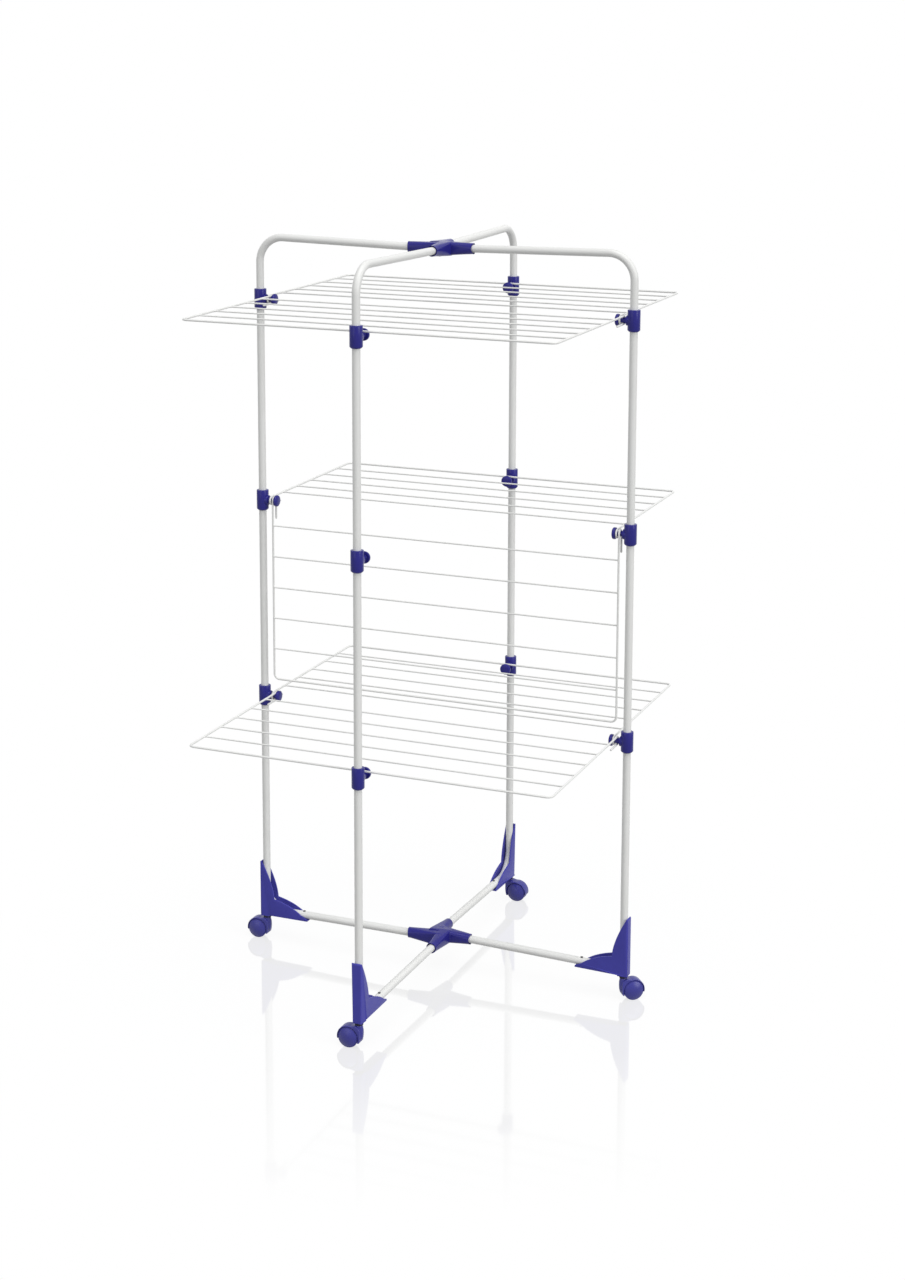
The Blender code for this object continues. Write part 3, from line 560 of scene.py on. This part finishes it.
pin = turned("pin_pattern", pin_place, pin_up, [
    (0.0033, 0.0011), (0.0037, 0.0015), (0.0078, 0.0015), (0.0078, 0.0026),
    (0.0080, 0.0028), (0.0083, 0.0028), (0.0087, 0.0025), (0.0090, 0.0017),
    (0.0090, 0.0012), (0.0087, 0.0008),
], 24)
clean_up(pin)
for leg in leg_turns:
    push_pin = copied(pin, f"push_pin_{leg}", at_leg(leg))
    wear(push_pin, pin_nylon)
    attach(push_pin, "frame")
    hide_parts(f"foot_pin_{leg}")
bpy.data.objects.remove(pin)

# --------------------------------------------------------------- castor stems
# Four castor stems, moulded in black acetal over a steel core. The fat end is pressed
# up into the foot as far as its ring, and the castor turns on the thin end.
black_acetal, tree, place = new_finish("moulded_acetal_black")
cloud = add_node(tree, "TexNoise", {"Scale": 700.0, "Detail": 2.0}, {"Vector": place})
surfaced(tree, {"IOR": 1.48, "Roughness": 0.45, "Specular IOR Level": 0.25}, {
    "Base Color": tinted(tree, cloud, "0C0C0E", "141418"),
    "Normal": embossed(tree, cloud, 0.2, 0.00004),
})

stem = turned("stem_pattern", (0, 0, 0), (0, 0, 1), [
    (0.0315, 0.0023), (0.0322, 0.0030), (0.0452, 0.0030), (0.0452, 0.0074),
    (0.0456, 0.0080), (0.0487, 0.0080), (0.0492, 0.0075), (0.0492, 0.0040),
    (0.0734, 0.0040), (0.0745, 0.0031),
], 40)
clean_up(stem)
for leg in leg_turns:
    castor_stem = copied(stem, f"stem_{leg}", at_leg(leg))
    wear(castor_stem, black_acetal)
    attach(castor_stem, "frame")
    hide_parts(f"castor_stem_{leg}")
bpy.data.objects.remove(stem)

# ----------------------------------------------------- castor fenders and axles
# Four castor bodies moulded in blue-violet nylon: a fender over both wheels, a web
# between them that holds the steel axle, and a boss that turns on the stem.
castor_trail = 0.0192
wheel_radius = 0.020
fender_radius = 0.0222
fender_half_width = 0.0102
castor_half_width = 0.0135
web_half_width = 0.0041
well_radius = 0.0210
axle_hole_radius = 0.0023
castor_top = 0.0449
trail_turns = {
    "left": math.pi, "front": math.pi, "back": 0.0,
    "right": 2 * math.atan(castor_half_width / (castor_trail + wheel_radius)),
}


def at_castor(leg):
    """A castor's own frame: origin under its stem, +X the way it trails."""
    foot_place = at_leg(leg).translation
    return Matrix.Translation(foot_place) @ Matrix.Rotation(trail_turns[leg], 4, "Z")


# Moulded nylon, smoother than the brackets, with faint flow marks and a few hairline
# scuffs from the floor.
castor_nylon, tree, place = new_finish("moulded_nylon_blue_violet")
flow = add_node(tree, "TexNoise", {"Scale": 60.0, "Detail": 3.0}, {"Vector": place})
scuff = add_node(
    tree, "TexNoise", {"Scale": 420.0, "Detail": 4.0, "Distortion": 1.6}, {"Vector": place},
)
surfaced(tree, {"IOR": 1.53, "Metallic": 0.0, "Specular IOR Level": 0.35}, {
    "Base Color": tinted(tree, flow, "343488", "3B3B96"),
    "Roughness": glossed(tree, scuff, 0.26, 0.36, 0.35, 0.7),
    "Normal": embossed(tree, scuff, 0.06, 0.00004),
})

# Drawn steel rod: bright, with a fine unevenness in its shine from the drawing.
bright_steel, tree, place = new_finish("drawn_steel_bright")
lines = add_node(tree, "TexNoise", {"Scale": 1500.0, "Detail": 2.0}, {"Vector": place})
surfaced(tree, {"Base Color": hex_colour("C4C6C8"), "Metallic": 1.0}, {
    "Roughness": glossed(tree, lines, 0.22, 0.38, 0.0, 1.0),
})

axle_centre = Vector((castor_trail, wheel_radius))
rear = -math.radians(13)
front = math.radians(100)
arc_steps = 30
outline = []
for index in range(arc_steps + 1):
    turn = rear + (front - rear) * index / arc_steps
    outline.append(axle_centre + fender_radius * Vector((math.cos(turn), math.sin(turn))))
outline += bow(outline[-1], (0.0098, 0.0428), (0.0058, 0.0442), 6)[1:]
outline += bow((0.0058, 0.0442), (-0.0033, 0.0430), (-0.0050, 0.0328), 8)[1:]
outline += bow((-0.0050, 0.0328), (-0.0062, 0.0209), (-0.0030, 0.0105), 8)[1:]
fender = cut_out("fender_pattern", outline, -fender_half_width, 2 * fender_half_width)
use_modifier(fender, "BEVEL", {"width": 0.0016, "segments": 4, "angle_limit": math.radians(40)})
boss = turned("boss", (0, 0, 0), (0, 0, 1), [
    (0.0121, 0.0037), (0.0179, 0.0066), (0.0222, 0.0078), (0.0287, 0.0082),
    (0.0358, 0.0082), (0.0404, 0.0075), (0.0428, 0.0070),
    (castor_top - 0.0005, 0.0068), (castor_top, 0.0064),
], 40)
combine(fender, boss, "UNION")
for side in (-1, 1):
    well = turned("well", (castor_trail, 0, wheel_radius), (0, side, 0), [
        (web_half_width, well_radius), (0.02, well_radius),
    ], 72)
    combine(fender, well, "DIFFERENCE")
swivel_hole = [(0.0312, 0.0033), (0.06, 0.0033)]
bore = turned("bore", (0, 0, 0), (0, 0, 1), swivel_hole, 32)
combine(fender, bore, "DIFFERENCE")
axle_hole = [(0, axle_hole_radius), (0.06, axle_hole_radius)]
bore = turned("bore", (castor_trail, -0.03, wheel_radius), (0, 1, 0), axle_hole, 24)
combine(fender, bore, "DIFFERENCE")
clean_up(fender)
for leg in leg_turns:
    body = copied(fender, f"castor_fender_{leg}", at_castor(leg))
    wear(body, castor_nylon)
    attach(body, f"castor_{leg}")
    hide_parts(f"castor_body_{leg}")
    wear(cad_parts[f"castor_axle_{leg}"], bright_steel)
bpy.data.objects.remove(fender)

# -------------------------------------------------------------------- wheels
# Eight solid wheels of the same nylon, two on each axle, with a flat tread and a domed
# outer face. They snap onto the ends of the axle.
tread_profile = [
    (0.0108, axle_hole_radius), (0.0045, axle_hole_radius), (0.0045, 0.0182),
    (0.0047, 0.0192), (0.0053, 0.0198), (0.0060, wheel_radius), (0.0082, wheel_radius),
    (0.0090, 0.0198), (0.0095, 0.0193), (0.0096, 0.0186), (0.0094, 0.0183), (0.0094, 0.0181),
]
dome_radius, dome_bulge, dome_base = 0.0180, 0.0050, 0.0098
dome_curve = (dome_radius ** 2 + dome_bulge ** 2) / (2 * dome_bulge)
dome_span = math.asin(dome_radius / dome_curve)
dome_profile = [
    (dome_base + dome_bulge - dome_curve * (1 - math.cos(dome_span * share)),
     dome_curve * math.sin(dome_span * share))
    for share in (1.0, 0.9, 0.78, 0.65, 0.5, 0.35, 0.2, 0.07)
]
wheel = turned(
    "wheel_pattern", (castor_trail, 0, wheel_radius), (0, 1, 0), tread_profile + dome_profile, 72,
)
clean_up(wheel)
turn_about = (
    Matrix.Translation((castor_trail, 0, 0)) @ Matrix.Rotation(math.pi, 4, "Z")
    @ Matrix.Translation((-castor_trail, 0, 0))
)
for leg in leg_turns:
    for side, flip in (("a", Matrix.Identity(4)), ("b", turn_about)):
        roller = copied(wheel, f"castor_wheel_{leg}_{side}", at_castor(leg) @ flip)
        wear(roller, castor_nylon)
        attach(roller, f"wheel_{leg}_{side}_body")
        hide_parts(f"wheel_{leg}_{side}")
bpy.data.objects.remove(wheel)

# --------------------------------------------------------------------- wings
# Six drying wings of welded steel wire, white coated: a 4 mm wire bent round three
# sides, its ends turned back as long hooks over the studs, and five 3 mm rungs.
wire_radius = 0.002
rung_radius = 0.0015
hook_radius = 0.0073
hook_tail = 0.038
tip_radius, tip_shoulder, tip_depth = 0.0009, 0.0015, 0.0009
wing_length = 0.3655
wing_half_width = 0.362
wing_corner = 0.011
rung_count = 5
rung_pitch = 0.0632
stagger = 0.003

# Thin white coating on wire: a little softer and glossier than the tubes' coat, and
# thicker in places where it ran together before it set.
wire_coat, tree, place = new_finish("dipped_coat_white")
drift = add_node(tree, "TexNoise", {"Scale": 30.0, "Detail": 3.0}, {"Vector": place})
run_marks = add_node(tree, "TexNoise", {"Scale": 500.0, "Detail": 2.0}, {"Vector": place})
surfaced(tree, {"IOR": 1.50, "Metallic": 0.0}, {
    "Base Color": tinted(tree, drift, "E6E6E3", "EEEEEC"),
    "Roughness": glossed(tree, drift, 0.26, 0.38),
    "Normal": embossed(tree, run_marks, 0.2, 0.00008),
})

side_run = wing_length - wing_corner
front_run = 2 * (wing_half_width - wing_corner)
wing = turned("wing_pattern", (-wing_half_width, 0, -hook_radius), (0, 1, 0), [
    (-hook_tail, tip_radius), (-hook_tail + 0.0003, tip_shoulder),
    (-hook_tail + tip_depth, wire_radius), (-hook_tail + 0.0020, wire_radius),
], 12)
bpy.ops.object.mode_set(mode="EDIT")
bpy.ops.mesh.select_all(action="DESELECT")
take_up(wing)
for face in wing.data.polygons:
    face.select = (wing.matrix_world @ face.center).y > -hook_tail + 0.0019
bpy.ops.object.mode_set(mode="EDIT")
bpy.ops.mesh.select_mode(type="FACE")
draw_out((0, hook_tail - 0.0020, 0))
bpy.ops.mesh.spin(steps=14, angle=math.pi, center=(0, 0, 0), axis=(-1, 0, 0))
draw_out((0, -side_run, 0), 6)
corner = (-wing_half_width + wing_corner, -side_run, hook_radius)
bpy.ops.mesh.spin(steps=8, angle=math.pi / 2, center=corner, axis=(0, 0, -1))
draw_out((front_run, 0, 0), 12)
corner = (wing_half_width - wing_corner, -side_run, hook_radius)
bpy.ops.mesh.spin(steps=8, angle=math.pi / 2, center=corner, axis=(0, 0, -1))
draw_out((0, side_run, 0), 6)
bpy.ops.mesh.spin(steps=14, angle=math.pi, center=(0, 0, 0), axis=(1, 0, 0))
draw_out((0, -hook_tail + tip_depth, 0))
tip = Vector((wing_half_width, -hook_tail + tip_depth, -hook_radius))
for step, radius, before in (
    (tip_depth - 0.0003, tip_shoulder, wire_radius), (0.0003, tip_radius, tip_shoulder),
):
    draw_out((0, -step, 0))
    tip.y -= step
    bpy.ops.transform.resize(value=(radius / before, 1, radius / before), center_override=tip)
bpy.ops.mesh.select_mode(type="VERT")
weld = [(0.0012, 0.0021), (0.0021, 0.0020), (0.0027, 0.0017), (0.0034, rung_radius)]
far = 2 * wing_half_width
rung_profile = weld + [(far * twelfth / 12, rung_radius) for twelfth in range(1, 12)]
rung_profile += [(far - at, radius) for at, radius in reversed(weld)]
rungs = []
for index in range(rung_count):
    along = -wing_length + (index + 1) * rung_pitch
    start = (-wing_half_width, along, hook_radius)
    rungs.append(turned(f"rung_{index}", start, (1, 0, 0), rung_profile, 10))
take_up(wing)
for rung in rungs:
    rung.select_set(True)
bpy.ops.object.join()
clean_up(wing, 40)
for level, height in levels.items():
    for side in ("front", "back"):
        shift = stagger if side == "front" else -stagger
        place = Matrix.Translation((shift, 0, height))
        if side == "back":
            place = place @ Matrix.Rotation(math.pi, 4, "Z")
        elif level == "middle":
            place = place @ Matrix.Rotation(math.pi / 2, 4, "X")
        rack = copied(wing, f"drying_wing_{level}_{side}", place)
        wear(rack, wire_coat)
        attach(rack, f"wing_{level}_{side}_body")
        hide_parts(f"wing_{level}_{side}")
bpy.data.objects.remove(wing)

# --------------------------------------------------------------------- stage
# A white studio floor: it shows the airer's soft shadow and a faint reflection of the
# base, and fades into the white background all round.
floor_radius = 12.0
mirror_near, mirror_far = 0.5, 0.95
mirror_strength = 0.24
sheen_strength = 0.68
take_up(None)
bpy.ops.mesh.primitive_circle_add(
    vertices=96, radius=floor_radius, fill_type="NGON", location=(0, 0, 0),
)
floor = bpy.context.object
floor.name = "studio_floor"
floor_finish, tree, place = new_finish("studio_floor_white")
reach = add_node(tree, "VectorMath", {"operation": "LENGTH"}, {0: place})
fade = add_node(
    tree, "MapRange",
    {"From Min": mirror_near, "From Max": mirror_far, "To Min": 1.0, "To Max": 0.0},
    {"Value": reach.outputs["Value"]},
)
glow = add_node(tree, "Emission", {"Color": (1.0, 1.0, 1.0, 1.0), "Strength": 1.0})
paper = add_node(tree, "BsdfDiffuse", {"Color": hex_colour("FFFFFF")})
sheen = add_node(tree, "BsdfGlossy", {"Color": hex_colour("FFFFFF"), "Roughness": 0.05})
lit = add_node(
    tree, "MixShader", {0: sheen_strength}, {1: paper.outputs[0], 2: sheen.outputs[0]},
)
share = add_node(
    tree, "Math", {"operation": "MULTIPLY", 1: mirror_strength}, {0: fade.outputs["Result"]},
)
seen = add_node(
    tree, "MixShader", None,
    {0: share.outputs[0], 1: glow.outputs[0], 2: lit.outputs[0]},
)
bounce = add_node(tree, "BsdfDiffuse", {"Color": hex_colour("989898")})
path = add_node(tree, "LightPath")
mirrored = add_node(
    tree, "Math", {"operation": "MAXIMUM"},
    {0: path.outputs["Is Glossy Ray"], 1: path.outputs["Is Transmission Ray"]},
)
indirect = add_node(
    tree, "MixShader", None,
    {0: mirrored.outputs[0], 1: bounce.outputs[0], 2: glow.outputs[0]},
)
mixed = add_node(
    tree, "MixShader", None,
    {0: path.outputs["Is Camera Ray"], 1: indirect.outputs[0], 2: seen.outputs[0]},
)
add_node(tree, "OutputMaterial", None, {"Surface": mixed.outputs[0]})
floor_finish.cycles.emission_sampling = "NONE"
wear(floor, floor_finish)

world = bpy.data.worlds.new("studio")
bpy.context.scene.world = world
world.use_nodes = True
tree = world.node_tree
tree.nodes.clear()
backdrop = add_node(tree, "Background", {"Color": (1.0, 1.0, 1.0, 1.0), "Strength": 1.0})
room = add_node(tree, "Background", {"Color": (0.95, 0.97, 1.0, 1.0), "Strength": 0.29})
path = add_node(tree, "LightPath")
seen_or_glossy = add_node(
    tree, "Math", {"operation": "MAXIMUM"},
    {0: path.outputs["Is Camera Ray"], 1: path.outputs["Is Glossy Ray"]},
)
plain_white = add_node(
    tree, "Math", {"operation": "MAXIMUM"},
    {0: seen_or_glossy.outputs[0], 1: path.outputs["Is Transmission Ray"]},
)
mixed = add_node(
    tree, "MixShader", None,
    {0: plain_white.outputs[0], 1: room.outputs[0], 2: backdrop.outputs[0]},
)
add_node(tree, "OutputWorld", None, {"Surface": mixed.outputs[0]})

# A wide soft light from above, one from the right, and a weak one from the front.
for name, energy, turn, spread in (
    ("overhead", 1.8, (math.radians(14), math.radians(10), 0), 0.9),
    ("side_fill", 1.25, (math.radians(70), 0, math.radians(78)), 0.7),
    ("front_fill", 0.36, (math.radians(78), 0, math.radians(-18)), 0.7),
):
    lamp = bpy.data.lights.new(name, "SUN")
    lamp.energy = energy
    lamp.angle = spread
    holder = bpy.data.objects.new(name, lamp)
    holder.rotation_euler = turn
    bpy.context.scene.collection.objects.link(holder)

# -------------------------------------------------------------------- camera
# The photograph's view: from the front and right, a little above the top level.
photo_height = 1280
photo_shift = -250
camera = bpy.data.objects.new("camera", bpy.data.cameras.new("camera"))
bpy.context.scene.collection.objects.link(camera)
camera.data.lens = 64.74
camera.data.sensor_width = 36.0
camera.data.shift_y = photo_shift / photo_height
ahead = Vector((-0.3758, 0.9109, -0.1705)).normalized()
above = Vector((-0.0676, 0.1565, 0.9854))
across = ahead.cross(above).normalized()
above = across.cross(ahead)
turn = Matrix((across, above, -ahead)).transposed().to_4x4()
camera.matrix_world = Matrix.Translation((1.677, -4.0066, 1.9239)) @ turn
bpy.context.scene.camera = camera
bpy.context.scene.view_settings.view_transform = "Standard"
